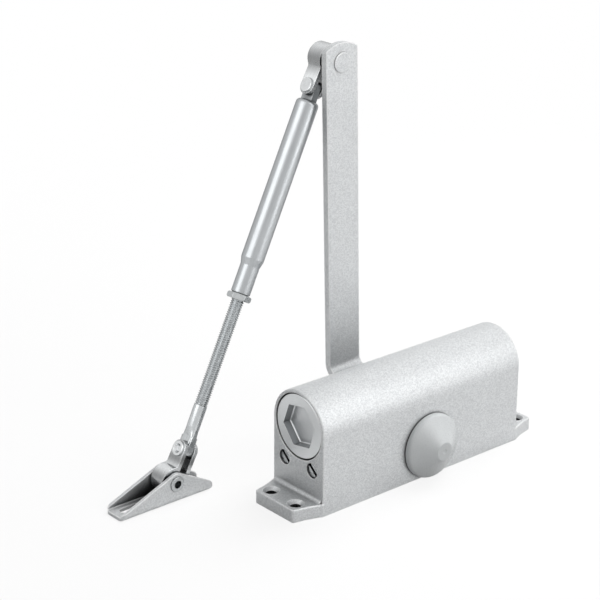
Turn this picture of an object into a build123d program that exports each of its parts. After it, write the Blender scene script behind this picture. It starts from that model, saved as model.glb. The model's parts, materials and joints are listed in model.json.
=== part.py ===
from build123d import *
from math import acos, asin, atan, atan2, ceil, cos, pi, radians, sin, sqrt, tan
import os

# Surface door closer, standing on its mounting face: X along the body, Y away from the cap, Z up.
# The origin is the middle of the body's mounting face. All lengths are in millimetres.

# Housing casting
body_length = 151.0
body_width = 42.0
body_height = 67.5
end_edge_fillet = 0.9
end_overlap = 1.8
flange_length = 17.2
flange_thickness = 7.6
flange_tip_width = 32.0
flange_side_sag = 0.7
flange_corner_radius = 1.6
flange_edge_fillet = 0.6
flange_root_cove = 2.2
screw_from_end = 6.7
screw_spacing_y = 20.4
screw_hole_radius = 3.0
screw_sink_radius = 4.8
screw_sink_depth = 1.8

# Cylinder and end plugs
plug_rim_wall = 1.85
plug_thread_gap = 0.15
plug_shoulder = 1.65
plug_length = 12.0
plug_setback = 0.5
plug_edge_chamfer = 0.9
plug_hex_flats = 23.0
plug_hex_depth = 5.0
plug_hex_floor_round = 0.8
plug_hex_turn = 10.0
plug_seal_radius = 1.0
plug_seal_from_inside = 2.6

# Regulating valves in the end face
valve_spacing = 22.8
valve_hole_radius = 4.4
valve_plug_wall = 1.5
valve_hole_depth = 14.0
valve_head_setback = 1.0
valve_head_length = 7.0
valve_head_gap = 0.25
valve_stem_radius = 2.6
valve_stem_gap = 0.1
valve_stem_length = 18.0
valve_tip_length = 4.0
valve_tip_radius = 0.65
valve_slot_width = 2.0
valve_slot_depth = 2.4
valve_slot_turn = -42.0
valve_seal_radius = 0.7

# Pinion and rack
tooth_count = 12
tooth_module = 2.2
pressure_angle = 25.0
tooth_backlash = 0.24
pinion_addendum = 0.9
rack_addendum = 0.8
tooth_root_factor = 1.15
tooth_foot_rise = 0.05
rack_line_drop = 14.0
pinion_width = 14.6
pinion_x = 3.7
opening_angle = 150.0
chamber_gap = 0.7
pinion_end_gap = 0.3

# Pinion shaft, bearings and seals
journal_radius = 8.0
shaft_square = 11.0
bearing_fit = 0.05
bearing_wall = 3.0
bearing_bore_gap = 0.3
seal_length = 2.8
seal_setback = 2.35
seal_gap = 0.2
retainer_fit = 0.05
retainer_bore_gap = 0.3
thrust_collar_radius = 10.0
retainer_boss_height = 3.6
retainer_boss_wall = 3.2
shaft_front_reach = 6.0

# Spindle cap
cap_radius = 19.0
cap_rim_height = 3.7
cap_rim_round = 2.5
cap_tip_radius = 5.4
cap_height = 12.6
cap_wall = 1.7
cap_grip_gap = 0.05
cap_grip_wall = 1.4
cap_dimple_radius = 1.6
cap_dimple_depth = 0.5

# Piston, check valve and spring
piston_fit = 0.05
piston_end_gap = 1.0
piston_tail_length = 9.5
spring_pocket_depth = 8.0
spring_pocket_wall = 3.2
rack_side_gap = 0.4
oil_way_radius = 1.8
check_pocket_radius = 4.0
check_pocket_depth = 8.0
check_ball_radius = 3.0
check_ring_length = 1.6
check_fit = 0.05
oil_way_rise = 5.0
spring_wire_radius = 1.7
spring_mean_radius = 11.8
spring_turns = 4
spring_seat_gap = 0.3

# Main arm
arm_width = 22.8
arm_thickness = 4.0
arm_length = 207.3
arm_lean = 1.72
arm_hub_gap = 3.0
arm_joggle = 26.0
arm_bend_radius = 5.0
arm_upper_bend_rise = 28.7
arm_bridge_tilt = 9.0
arm_top_rise = 11.0
arm_top_arc = 21.0
arm_corner_radius = 2.0
arm_square_fit = 0.05
washer_radius = 8.6
washer_thickness = 1.5
screw_head_flats = 10.0
screw_head_height = 4.0
screw_thread_radius = 3.0
screw_thread_length = 12.0
screw_fit = 0.1
square_relief = 0.4

# Strap knuckles at the elbow and at the shoe
strap_width = 10.2
strap_thickness = 2.4
strap_loop_radius = 8.4
strap_leg_gap = 5.0
strap_neck_fillet = 2.0
strap_reach = 18.0
strap_bush_fit = 0.05
pin_radius = 3.3
pin_fit = 0.05
elbow_gap = 5.1
elbow_washer_radius = 7.2
elbow_washer_gap = 0.3
elbow_washer_thickness = 1.2
rivet_head_radius = 5.8
rivet_head_height = 0.8
rivet_head_round = 0.5
rivet_tail_radius = 5.0
rivet_tail_height = 2.0
cross_rivet_radius = 3.0
cross_rivet_head_radius = 4.2
cross_rivet_head_height = 1.2
cross_rivet_dish_radius = 2.7
cross_rivet_dish_floor = 1.5
cross_rivet_dish_depth = 1.8
cross_rivet_fit = 0.05
tongue_side_gap = 0.3
tongue_width = 8.4
tongue_edge_round = 1.25

# Forearm: tube, lock nut and adjusting rod
forearm_lean = 28.94
forearm_drift = 12.9
tube_radius = 6.5
tube_shoulder = 7.6
tube_shoulder_fillet = 2.4
tube_length = 113.0
tube_neck_radius = 5.5
tube_neck_length = 16.0
tube_neck_taper = 4.0
tube_bore_length = 75.0
rod_radius = 3.75
rod_fit = 0.1
rod_engaged = 45.0
rod_forging_length = 5.5
rod_tongue_length = 8.0
nut_flats = 12.0
nut_height = 3.4
nut_chamfer = 0.7
nut_turn = -15.0
nut_face_radius = 4.9
nut_face_height = 0.5

# Shoe bracket on the frame side
shoe_thickness = 2.0
shoe_side_gap = 1.0
shoe_loop_gap = 0.8
shoe_lobe_radius = 6.2
shoe_toe_length = 37.2
shoe_toe_height = 3.0
shoe_heel_slot_wall = 3.0
shoe_heel_radius = 3.2
shoe_inner_bend = 0.6
shoe_corner_radius = 4.0
shoe_slot_length = 14.0
shoe_slot_radius = 2.7
shoe_slot_spacing = 40.0
shoe_toe_slot_edge = 11.5
eyelet_bore_radius = 2.3
eyelet_flange_radius = 4.4
eyelet_flange_height = 0.8

# Places worked out from the sizes above
half_length = body_length / 2
half_width = body_width / 2
cylinder_z = body_height - half_width
plug_recess_radius = half_width - plug_rim_wall
plug_radius = plug_recess_radius - plug_thread_gap
bore_radius = plug_recess_radius - plug_shoulder
plug_inner_x = half_length - plug_setback - plug_length
valve_circle = plug_recess_radius + valve_plug_wall + valve_hole_radius
valve_drop = sqrt(valve_circle**2 - (valve_spacing / 2) ** 2)
screw_x = half_length + flange_length - screw_from_end
pitch_radius = tooth_count * tooth_module / 2
tooth_pitch = pi * tooth_module
pinion_tip_radius = pitch_radius + pinion_addendum * tooth_module
pinion_root_radius = pitch_radius - tooth_root_factor * tooth_module
pinion_z = cylinder_z - rack_line_drop - pitch_radius
chamber_radius = pinion_tip_radius + chamber_gap
chamber_half = pinion_width / 2 + pinion_end_gap
bearing_outer = journal_radius + bearing_fit + bearing_wall
chamber_crown = rack_line_drop + pitch_radius - chamber_radius
retainer_inner = sqrt(bore_radius**2 - chamber_crown**2) + retainer_bore_gap
bearing_crown = rack_line_drop + pitch_radius - bearing_outer
bore_chord_half = sqrt(max(bore_radius**2 - bearing_crown**2, 0))
back_bearing_inner = max(chamber_half, bore_chord_half + bearing_bore_gap)
piston_travel = radians(opening_angle) * pitch_radius
piston_radius = bore_radius - piston_fit
piston_right = plug_inner_x - piston_end_gap
rack_run = sqrt(pinion_tip_radius**2 - (cylinder_z - piston_radius - pinion_z) ** 2) + rack_side_gap
piston_left = pinion_x - rack_run - piston_tail_length
spring_left = -plug_inner_x + spring_seat_gap
spring_right = piston_left + spring_pocket_depth - spring_seat_gap
bush_radius = strap_loop_radius - strap_thickness - strap_bush_fit
strap_half = strap_width / 2
tongue_thickness = strap_leg_gap - 2 * tongue_side_gap
leg_face = strap_leg_gap / 2 + strap_thickness
shoe_leg_offset = strap_loop_radius - leg_face
elbow_arm_side = -strap_half - elbow_gap
elbow_washer_start = strap_half + elbow_washer_gap
elbow_washer_end = elbow_washer_start + elbow_washer_thickness

# Main arm frame: along the arm from the pinion axis, across its width, and out along Y
arm_along = Vector(-sin(radians(arm_lean)), 0, cos(radians(arm_lean)))
arm_hub_front = half_width + arm_hub_gap
arm_hub_back = arm_hub_front + arm_thickness
arm_face = arm_hub_front + arm_joggle
arm_back = arm_face + arm_thickness
pinion_axis = Vector(pinion_x, 0, pinion_z)

# Elbow, cross rivets and shoe pin
leg_down = Vector(-sin(radians(forearm_lean)), 0, -cos(radians(forearm_lean)))
rivet_axis = Vector(cos(radians(forearm_lean)), 0, -sin(radians(forearm_lean)))
pin_height = shoe_thickness + shoe_loop_gap + strap_loop_radius
elbow = pinion_axis + arm_along * arm_length + Vector(0, arm_back + elbow_gap + strap_half, 0)
legs_line_foot = Vector(0, -forearm_drift, 0) - rivet_axis * shoe_leg_offset
forearm_reach = (elbow.Z + legs_line_foot.Z - pin_height) / cos(radians(forearm_lean))
shoe_pin_point = elbow + leg_down * forearm_reach + legs_line_foot
tube_rivet_point = elbow + leg_down * strap_reach
rod_rivet_point = shoe_pin_point - leg_down * strap_reach + rivet_axis * shoe_leg_offset
forearm_span = (rod_rivet_point - tube_rivet_point).length
forearm_down = (rod_rivet_point - tube_rivet_point).normalized()
tube_end = tube_shoulder + tube_length
shoe_half = strap_half + shoe_side_gap + shoe_thickness
shoe_toe_slot = shoe_toe_slot_edge - shoe_toe_length
shoe_heel_slot = shoe_toe_slot + shoe_slot_spacing
shoe_heel_length = shoe_heel_slot + shoe_slot_length / 2 + shoe_heel_slot_wall
edge_pick = 0.01

# Frames that the linkage pieces are drawn in
arm_frame = Plane(pinion_axis, x_dir=arm_along, z_dir=(0, 1, 0))
elbow_frame = Plane(elbow, x_dir=leg_down, z_dir=(0, 1, 0))
shoe_frame = Plane(shoe_pin_point, x_dir=-leg_down, z_dir=(0, 1, 0))
forearm_frame = Plane(tube_rivet_point, x_dir=rivet_axis, z_dir=forearm_down)
tube_rivet_frame = Plane(tube_rivet_point, z_dir=rivet_axis)
rod_rivet_frame = Plane(rod_rivet_point, z_dir=-rivet_axis)


def rod_between(radius, start, end):
    # Round bar on the local Z axis between two heights
    return Pos(0, 0, start) * Cylinder(radius, end - start, align=(Align.CENTER, Align.CENTER, Align.MIN))


def ring_between(outer, inner, start, end):
    return rod_between(outer, start, end) - rod_between(inner, start, end)


def dome_head(radius, height):
    # Low rivet dome standing on the local XY plane
    sphere_radius = (radius**2 + height**2) / (2 * height)
    rim = (radius, 0)
    crown = (0, height)
    shoulder_turn = asin(radius / sphere_radius) / 2
    shoulder = (sphere_radius * sin(shoulder_turn), height - sphere_radius * (1 - cos(shoulder_turn)))
    outline = Line((0, 0), rim) + ThreePointArc(rim, shoulder, crown) + Line(crown, (0, 0))
    return revolve(Plane.XZ * make_face(outline), Axis.Z)


def flat_head(radius, height):
    # Flat rivet head with a rounded edge, standing on the local XY plane
    head = rod_between(radius, 0, height)
    return fillet(head.faces().sort_by(Axis.Z)[-1].edges(), rivet_head_round)


def end_frame(side, depth):
    # Frame on an end face, looking out of the body, a depth below that face
    return Plane((side * (half_length - depth), 0, cylinder_z), x_dir=(0, side, 0), z_dir=(side, 0, 0))


def flange_plan(side):
    root = side * (half_length - end_overlap)
    start = side * half_length
    tip = side * (half_length + flange_length)
    tip_half = flange_tip_width / 2
    middle = ((start + tip) / 2, (half_width + tip_half) / 2 - flange_side_sag)
    outline = Line((root, -half_width), (root, half_width)) + Line((root, half_width), (start, half_width))
    outline += ThreePointArc((start, half_width), middle, (tip, tip_half))
    outline += Line((tip, tip_half), (tip, -tip_half))
    outline += ThreePointArc((tip, -tip_half), (middle[0], -middle[1]), (start, -half_width))
    outline += Line((start, -half_width), (root, -half_width))
    return make_face(outline)


def flange(side):
    plate = extrude(flange_plan(side), flange_thickness)
    tip = side * (half_length + flange_length)
    upright = plate.edges().filter_by(Axis.Z)
    corners = upright.filter_by(lambda edge: abs(edge.center().X - tip) < edge_pick)
    plate = fillet(corners, flange_corner_radius)
    rim = plate.faces().sort_by(Axis.Z)[-1].edges()
    outer = rim.filter_by(lambda edge: abs(edge.center().X) > half_length + edge_pick)
    plate = fillet(outer, flange_edge_fillet)
    cove = Rectangle(flange_root_cove, flange_root_cove, align=(Align.MIN, Align.MIN))
    cove -= Pos(flange_root_cove, flange_root_cove) * Circle(flange_root_cove)
    corner = Plane((side * half_length, 0, flange_thickness), x_dir=(side, 0, 0), z_dir=(0, -side, 0))
    return plate + extrude(corner * cove, half_width - end_overlap, both=True)


def valve_frame(sign):
    spot = Vector(-half_length, sign * valve_spacing / 2, cylinder_z - valve_drop)
    return Plane(spot, x_dir=(0, 1, 0), z_dir=(-1, 0, 0))


def housing():
    section = Rectangle(body_width, cylinder_z, align=(Align.CENTER, Align.MIN))
    section += Pos(0, cylinder_z) * Circle(half_width)
    body = extrude(Plane.YZ * section, half_length, both=True)
    for side in (-1, 1):
        outline = body.faces().sort_by(Axis.X)[0 if side < 0 else -1].edges()
        body = fillet(outline.filter_by(lambda edge: edge.center().Z > edge_pick), end_edge_fillet)
    for side in (-1, 1):
        body += flange(side)
        recess = plug_setback + plug_length
        body -= end_frame(side, 0) * rod_between(plug_recess_radius, -recess, end_edge_fillet)
        for sign in (-1, 1):
            hole = Pos(side * screw_x, sign * screw_spacing_y / 2, 0)
            body -= hole * rod_between(screw_hole_radius, 0, flange_thickness)
            sink = Pos(0, 0, flange_thickness - screw_sink_depth / 2)
            body -= hole * sink * Cone(screw_hole_radius, screw_sink_radius, screw_sink_depth)
    body -= end_frame(1, half_length) * rod_between(bore_radius, -half_length, half_length)
    body -= pinion_frame() * rod_between(chamber_radius, -half_width, chamber_half)
    body -= pinion_frame() * rod_between(bearing_outer, chamber_half, half_width)
    for sign in (-1, 1):
        body -= valve_frame(sign) * rod_between(valve_hole_radius, -valve_hole_depth, end_edge_fillet)
        stem_end = -valve_head_setback - valve_head_length - valve_stem_length - valve_tip_length
        body -= valve_frame(sign) * rod_between(valve_stem_radius + valve_stem_gap, stem_end, 0)
    return body


def pinion_frame():
    return Plane(pinion_axis, x_dir=(1, 0, 0), z_dir=(0, 1, 0))


def plug_seal_height():
    return plug_seal_from_inside - plug_length


def end_plug(side):
    # Threaded cylinder plug with a hexagon socket, drawn with its outer face on the local XY plane
    plug = rod_between(plug_radius, -plug_length, 0)
    plug = chamfer(plug.faces().sort_by(Axis.Z)[-1].edges(), plug_edge_chamfer)
    hexagon = RegularPolygon(plug_hex_flats / 2, 6, major_radius=False, rotation=plug_hex_turn)
    plug -= Pos(0, 0, -plug_hex_depth) * extrude(hexagon, plug_hex_depth)
    socket_floor = plug.edges().filter_by(GeomType.LINE).filter_by(Plane.XY).group_by(Axis.Z)[0]
    plug = fillet(socket_floor, plug_hex_floor_round)
    groove_half = plug_seal_radius + plug_thread_gap / 2
    groove_floor = plug_radius - 2 * plug_seal_radius
    start = plug_seal_height() - groove_half
    plug -= ring_between(plug_recess_radius, groove_floor, start, start + 2 * groove_half)
    return end_frame(side, plug_setback) * plug


def plug_seal(side):
    ring = Torus(plug_radius - plug_seal_radius + plug_thread_gap / 2, plug_seal_radius)
    return end_frame(side, plug_setback) * Pos(0, 0, plug_seal_height()) * ring


def valve_screw(sign):
    # Slotted needle screw, drawn with its axis along local Z and its head at the top
    head_top = -valve_head_setback
    head_bottom = head_top - valve_head_length
    stem_bottom = head_bottom - valve_stem_length
    head_radius = valve_hole_radius - valve_head_gap
    screw = rod_between(head_radius, head_bottom, head_top)
    screw -= ring_between(valve_hole_radius, head_radius - 2 * valve_seal_radius, *valve_groove())
    screw += rod_between(valve_stem_radius, stem_bottom, head_bottom)
    tip = Cone(valve_tip_radius, valve_stem_radius, valve_tip_length)
    screw += Pos(0, 0, stem_bottom - valve_tip_length / 2) * tip
    slot = Box(valve_hole_radius * 2, valve_slot_width, valve_slot_depth)
    screw -= Pos(0, 0, head_top - valve_slot_depth / 2) * Rot(0, 0, valve_slot_turn) * slot
    return valve_frame(sign) * screw


def valve_groove():
    middle = -valve_head_setback - valve_head_length / 2
    half = valve_seal_radius + valve_head_gap / 2
    return middle - half, middle + half


def valve_seal(sign):
    start, end = valve_groove()
    ring = Torus(valve_hole_radius - valve_head_gap / 2 - valve_seal_radius, valve_seal_radius)
    return valve_frame(sign) * Pos(0, 0, (start + end) / 2) * ring


def involute_half_angle(radius):
    # Half the angle that a tooth fills at a radius, from the involute of the base circle
    base_radius = pitch_radius * cos(radians(pressure_angle))
    at_pitch = pi / (2 * tooth_count) - tooth_backlash / (4 * pitch_radius)
    roll = sqrt(max((radius / base_radius) ** 2 - 1, 0))
    return at_pitch + tan(radians(pressure_angle)) - radians(pressure_angle) - roll + atan(roll)


def polar(radius, angle):
    return radius * cos(angle), radius * sin(angle)


def tooth_outline(centre):
    # One tooth and the root arc after it: radial foot, involute flank as an arc, tip
    foot = max(pitch_radius * cos(radians(pressure_angle)), pinion_root_radius + tooth_foot_rise)
    flank_middle = (foot + pinion_tip_radius) / 2
    edges = []
    for side in (-1, 1):
        root = polar(pinion_root_radius, centre + side * involute_half_angle(foot))
        low = polar(foot, centre + side * involute_half_angle(foot))
        half = polar(flank_middle, centre + side * involute_half_angle(flank_middle))
        high = polar(pinion_tip_radius, centre + side * involute_half_angle(pinion_tip_radius))
        edges += [Line(root, low), ThreePointArc(low, half, high)]
    tip_half = involute_half_angle(pinion_tip_radius)
    tip = [polar(pinion_tip_radius, centre + turn * tip_half) for turn in (-1, 0, 1)]
    edges.append(ThreePointArc(*tip))
    step = 2 * pi / tooth_count
    root_start = centre + involute_half_angle(foot)
    root_end = centre + step - involute_half_angle(foot)
    gap = [polar(pinion_root_radius, angle) for angle in (root_start, centre + step / 2, root_end)]
    edges.append(ThreePointArc(*gap))
    return edges


def pinion_shaft():
    # The local X axis lies along the body, so a tooth at minus 90 degrees points up at the rack
    edges = []
    for index in range(tooth_count):
        edges += tooth_outline(-pi / 2 + index * 2 * pi / tooth_count)
    gear = extrude(make_face(edges), pinion_width / 2, both=True)
    front = -half_width - shaft_front_reach
    shaft = gear + rod_between(journal_radius, front, arm_hub_front)
    shaft += rod_between(thrust_collar_radius, -retainer_inner + pinion_end_gap, 0)
    square = Rectangle(shaft_square, shaft_square, rotation=-arm_lean)
    square_length = arm_thickness - square_relief
    shaft += Pos(0, 0, arm_hub_front) * extrude(square, square_length)
    thread_floor = arm_hub_back - screw_thread_length - screw_fit
    shaft -= rod_between(screw_thread_radius + screw_fit, thread_floor, arm_hub_back)
    return pinion_frame() * shaft


def journal_ring(side, start, end):
    # Ring round a journal, between two distances from the body's middle plane
    ring = ring_between(bearing_outer - bearing_fit, journal_radius + bearing_fit, start, end)
    return pinion_frame() * (mirror(ring, Plane.XY) if side < 0 else ring)


def seal_end(side):
    # The front seal is flush with the retainer's boss, and the back one sits in the body
    return half_width + retainer_boss_height if side < 0 else half_width - seal_setback


def shaft_bearing(side):
    inner = retainer_inner if side < 0 else back_bearing_inner
    return journal_ring(side, inner + bearing_fit, seal_end(side) - seal_length - seal_gap)


def shaft_seal(side):
    return journal_ring(side, seal_end(side) - seal_length, seal_end(side))


def retainer_boss_radius():
    return bearing_outer + retainer_boss_wall


def bearing_retainer():
    # Threaded ring that closes the pinion chamber and carries the front bearing
    ring = rod_between(chamber_radius - retainer_fit, -half_width, -retainer_inner)
    ring += rod_between(retainer_boss_radius(), -half_width - retainer_boss_height, -half_width)
    ring -= rod_between(bearing_outer, -half_width - retainer_boss_height, -retainer_inner)
    return pinion_frame() * ring


def cap_outline(shrink):
    # Half section of the cap: skirt, rounded rim, cone and flat tip, in radius and height
    radius = cap_radius - shrink
    top = cap_height - shrink
    rim = (radius, cap_rim_height - shrink / 2)
    tip = (cap_tip_radius - shrink / 2, top)
    section = make_face(Polyline((0, 0), (radius, 0), rim, tip, (0, top), close=True))
    bend = section.vertices().sort_by_distance((rim[0], rim[1], 0))[0]
    return fillet(bend, cap_rim_round - shrink)


def spindle_cap():
    shell = revolve(Plane.XZ * cap_outline(0), Axis.Z)
    shell -= revolve(Plane.XZ * cap_outline(cap_wall), Axis.Z)
    grip_inner = retainer_boss_radius() + cap_grip_gap
    grip = ring_between(grip_inner + cap_grip_wall, grip_inner, 0, cap_height - cap_wall)
    shell += grip & revolve(Plane.XZ * cap_outline(0), Axis.Z)
    dimple = Cone(cap_dimple_radius / 2, cap_dimple_radius, cap_dimple_depth)
    shell -= Pos(0, 0, cap_height - cap_dimple_depth / 2) * dimple
    front = Plane((pinion_x, -half_width, pinion_z), x_dir=(1, 0, 0), z_dir=(0, -1, 0))
    return front * shell


def piston_frame():
    # Cylinder axis as local Z, with local X pointing down at the rack
    return Plane((0, 0, cylinder_z), x_dir=(0, 0, -1), z_dir=(1, 0, 0))


def rack_space(index):
    # One tooth space of the rack, widening towards the pinion
    line_z = cylinder_z - rack_line_drop
    low = line_z - rack_addendum * tooth_module
    high = line_z + tooth_root_factor * tooth_module
    slope = tan(radians(pressure_angle))
    half = tooth_pitch / 4 + tooth_backlash / 4
    low_half = half + (line_z - low) * slope
    high_half = half - (high - line_z) * slope
    middle = pinion_x + index * tooth_pitch
    bottom = [(middle - low_half, low), (middle + low_half, low)]
    top = [(middle + high_half, high), (middle - high_half, high)]
    space = make_face(Polyline(*bottom, *top, close=True))
    return extrude(Plane.XZ * space, pinion_width / 2 + rack_side_gap, both=True)


def piston():
    body = piston_frame() * rod_between(piston_radius, piston_left, piston_right)
    rack_tip = cylinder_z - rack_line_drop - rack_addendum * tooth_module
    start = pinion_x - rack_run
    length = piston_travel + 2 * rack_run
    flat_width = pinion_width + 2 * rack_side_gap
    flat = Box(length, flat_width, body_width, align=(Align.MIN, Align.CENTER, Align.MAX))
    body -= Pos(start, 0, rack_tip) * flat
    for index in range(-1, ceil(round(piston_travel / tooth_pitch, 3)) + 2):
        body -= rack_space(index)
    pocket = rod_between(piston_radius - spring_pocket_wall, piston_left, piston_left + spring_pocket_depth)
    body -= piston_frame() * pocket
    body -= check_frame() * rod_between(oil_way_radius, piston_left, piston_right)
    check_pocket = rod_between(check_pocket_radius, piston_right - check_pocket_depth, piston_right)
    body -= check_frame() * check_pocket
    return body


def check_frame():
    return Plane((0, 0, cylinder_z + oil_way_rise), x_dir=(0, 0, -1), z_dir=(1, 0, 0))


def check_ball():
    # Ball resting on the edge of the oil way
    seat = sqrt(check_ball_radius**2 - oil_way_radius**2)
    middle = piston_right - check_pocket_depth + seat + check_fit
    return check_frame() * Pos(0, 0, middle) * Sphere(check_ball_radius)


def check_ring():
    outer = check_pocket_radius - check_fit
    start = piston_right - check_ring_length
    return check_frame() * ring_between(outer, oil_way_radius, start, piston_right)


def helix_point(turn, length):
    across = polar(spring_mean_radius, 2 * pi * turn)
    return Vector(*across, length * turn / spring_turns)


def helix_tangent(turn, length):
    angle = 2 * pi * turn
    round_speed = 2 * pi * spring_mean_radius
    return Vector(-round_speed * sin(angle), round_speed * cos(angle), length / spring_turns).normalized()


def biarc(start, start_way, end, end_way):
    # Two arcs that leave and arrive along the given directions
    chord = end - start
    both = start_way + end_way
    square = 2 * (1 - start_way.dot(end_way))
    forward = chord.dot(both)
    reach = (sqrt(forward**2 + 2 * square * chord.dot(chord)) - forward) / (2 * square)
    first_corner = start + start_way * reach
    last_corner = end - end_way * reach
    middle = (first_corner + last_corner) * 0.5
    middle_way = (last_corner - first_corner).normalized()
    return [TangentArc(start, middle, tangent=start_way), TangentArc(middle, end, tangent=middle_way)]


def main_spring():
    # Compression spring between the left plug and the piston, wound in quarter turns
    length = spring_right - spring_left - 2 * spring_wire_radius
    edges = []
    for quarter in range(spring_turns * 4):
        turns = (quarter / 4, (quarter + 1) / 4)
        points = [helix_point(turn, length) for turn in turns]
        ways = [helix_tangent(turn, length) for turn in turns]
        edges += biarc(points[0], ways[0], points[1], ways[1])
    start_plane = Plane(helix_point(0, length), z_dir=helix_tangent(0, length))
    wire = sweep(start_plane * Circle(spring_wire_radius), path=Wire(edges))
    gap = length / spring_turns - 2 * spring_wire_radius
    print("main spring turns leave a gap of", round(gap, 2), "mm")
    seat = Pos(0, 0, spring_left + spring_wire_radius)
    return piston_frame() * seat * wire


def arm_side_profile():
    # Edge-on line of the arm: hub plate, joggle bridge and long plate, given the plate's thickness
    hub_line = arm_hub_front + arm_thickness / 2
    long_line = arm_face + arm_thickness / 2
    centre_radius = arm_bend_radius + arm_thickness / 2
    tangent = centre_radius * tan(radians((90 - arm_bridge_tilt) / 2))
    upper_corner = arm_upper_bend_rise - tangent
    lower_corner = upper_corner - arm_joggle * tan(radians(arm_bridge_tilt))
    hub = [(-arm_width / 2, hub_line), (lower_corner, hub_line)]
    plate = [(upper_corner, long_line), (arm_length + arm_top_rise, long_line)]
    return trace(FilletPolyline(*hub, *plate, radius=centre_radius), line_width=arm_thickness)


def arm_plan():
    # Face-on outline of the arm: round hub end, straight sides, shallow arc at the elbow
    half = arm_width / 2
    corner = arm_length + arm_top_rise - (arm_top_arc - sqrt(arm_top_arc**2 - half**2))
    top = arm_length + arm_top_rise
    outline = ThreePointArc((0, -half), (-half, 0), (0, half)) + Line((0, half), (corner, half))
    outline += ThreePointArc((corner, half), (top, 0), (corner, -half)) + Line((corner, -half), (0, -half))
    plan = make_face(outline)
    corners = plan.vertices().group_by(Axis.X)[-1]
    return fillet(corners, arm_corner_radius)


def main_arm():
    edge_plane = Plane(pinion_axis, x_dir=arm_along, z_dir=-arm_frame.y_dir)
    bar = extrude(edge_plane * arm_side_profile(), arm_width, both=True)
    bar &= arm_frame * extrude(arm_plan(), arm_back * 2)
    hole = Rectangle(shaft_square + 2 * arm_square_fit, shaft_square + 2 * arm_square_fit)
    bar -= arm_frame * Pos(0, 0, arm_hub_front) * extrude(hole, arm_thickness)
    bar -= arm_frame * Pos(arm_length, 0, 0) * rod_between(pin_radius + pin_fit, arm_face, arm_back)
    return bar


def arm_washer():
    bore = screw_thread_radius + screw_fit
    return arm_frame * ring_between(washer_radius, bore, arm_hub_back, arm_hub_back + washer_thickness)


def arm_screw():
    seat = arm_hub_back + washer_thickness
    hexagon = RegularPolygon(screw_head_flats / 2, 6, major_radius=False)
    head = Pos(0, 0, seat) * extrude(hexagon, screw_head_height)
    thread = rod_between(screw_thread_radius, arm_hub_back - screw_thread_length, seat)
    return arm_frame * (head + thread)


def elbow_rivet():
    front = elbow_arm_side - arm_thickness
    shank = rod_between(pin_radius, front, elbow_washer_end)
    head = Pos(0, 0, front) * Rot(180, 0, 0) * flat_head(rivet_head_radius, rivet_head_height)
    tail = Pos(0, 0, elbow_washer_end) * dome_head(rivet_tail_radius, rivet_tail_height)
    return elbow_frame * (shank + head + tail)


def elbow_bush():
    return elbow_frame * ring_between(bush_radius, pin_radius + pin_fit, elbow_arm_side, elbow_washer_start)


def elbow_washer():
    bore = pin_radius + pin_fit
    return elbow_frame * ring_between(elbow_washer_radius, bore, elbow_washer_start, elbow_washer_end)


def strap_knuckle(frame, leg_offset):
    # Strip bent round the bush into a loop, with two legs that clasp a flat tongue.
    # The legs leave the loop's middle, or with an offset run on from one side of it.
    loop_inner = strap_loop_radius - strap_thickness
    reach = strap_reach + strap_half
    legs = Rectangle(reach, 2 * leg_face, align=(Align.MIN, Align.CENTER))
    side = Circle(strap_loop_radius) + Pos(0, leg_offset) * legs
    bends = side.vertices().filter_by(lambda corner: corner.X < strap_reach)
    necks = bends.filter_by(lambda corner: abs(corner.Y) < strap_loop_radius - edge_pick)
    side = fillet(necks, strap_neck_fillet)
    slit = Rectangle(reach, strap_leg_gap, align=(Align.MIN, Align.CENTER))
    side -= Circle(loop_inner) + Pos(0, leg_offset) * slit
    strap = extrude(side, strap_half, both=True)
    face = Rectangle(strap_reach + strap_loop_radius, strap_width, align=(Align.MAX, Align.CENTER))
    face = Pos(strap_reach, 0) * (face + Circle(strap_half))
    strap &= extrude(Plane.XZ * face, strap_loop_radius, both=True)
    hole = Plane((strap_reach, leg_offset, 0), z_dir=(0, 1, 0))
    strap -= hole * rod_between(cross_rivet_radius + cross_rivet_fit, -leg_face, leg_face)
    return frame * strap


def cross_rivet(frame):
    # Rivet through both legs of a knuckle and the tongue between them, with one flat and one dished head
    rivet = rod_between(cross_rivet_radius, -leg_face, leg_face)
    head = Pos(0, 0, leg_face) * flat_head(cross_rivet_head_radius, cross_rivet_head_height)
    dish = Cone(cross_rivet_dish_floor, cross_rivet_dish_radius, cross_rivet_dish_depth)
    dish_middle = leg_face + cross_rivet_head_height - cross_rivet_dish_depth / 2
    rivet = rivet + head + mirror(head, Plane.XY) - Pos(0, 0, dish_middle) * dish
    return frame * rivet


def tongue(start, end, hole):
    # Flat tongue across the rivet axis, round at the end that holds the rivet
    half = tongue_width / 2
    low = min(start, end)
    high = max(start, end)
    face = Pos(0, (low + high) / 2) * Rectangle(tongue_width, high - low) + Pos(0, hole) * Circle(half)
    face -= Pos(0, hole) * Circle(cross_rivet_radius + 2 * cross_rivet_fit)
    return extrude(Plane.YZ * face, tongue_thickness / 2, both=True)


def forearm_tube():
    neck_start = tube_end - tube_neck_length
    outline = Polyline(
        (0, tube_shoulder),
        (tube_radius, tube_shoulder),
        (tube_radius, neck_start - tube_neck_taper),
        (tube_neck_radius, neck_start),
        (tube_neck_radius, tube_end),
        (0, tube_end),
        close=True,
    )
    tube = revolve(Plane.XZ * make_face(outline), Axis.Z)
    tube = fillet(tube.edges().filter_by(GeomType.CIRCLE).sort_by(Axis.Z)[0], tube_shoulder_fillet)
    tube += tongue(0, tube_shoulder + tube_shoulder_fillet, 0)
    tube -= rod_between(rod_radius + rod_fit, tube_end - tube_bore_length, tube_end)
    return forearm_frame * tube


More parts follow.
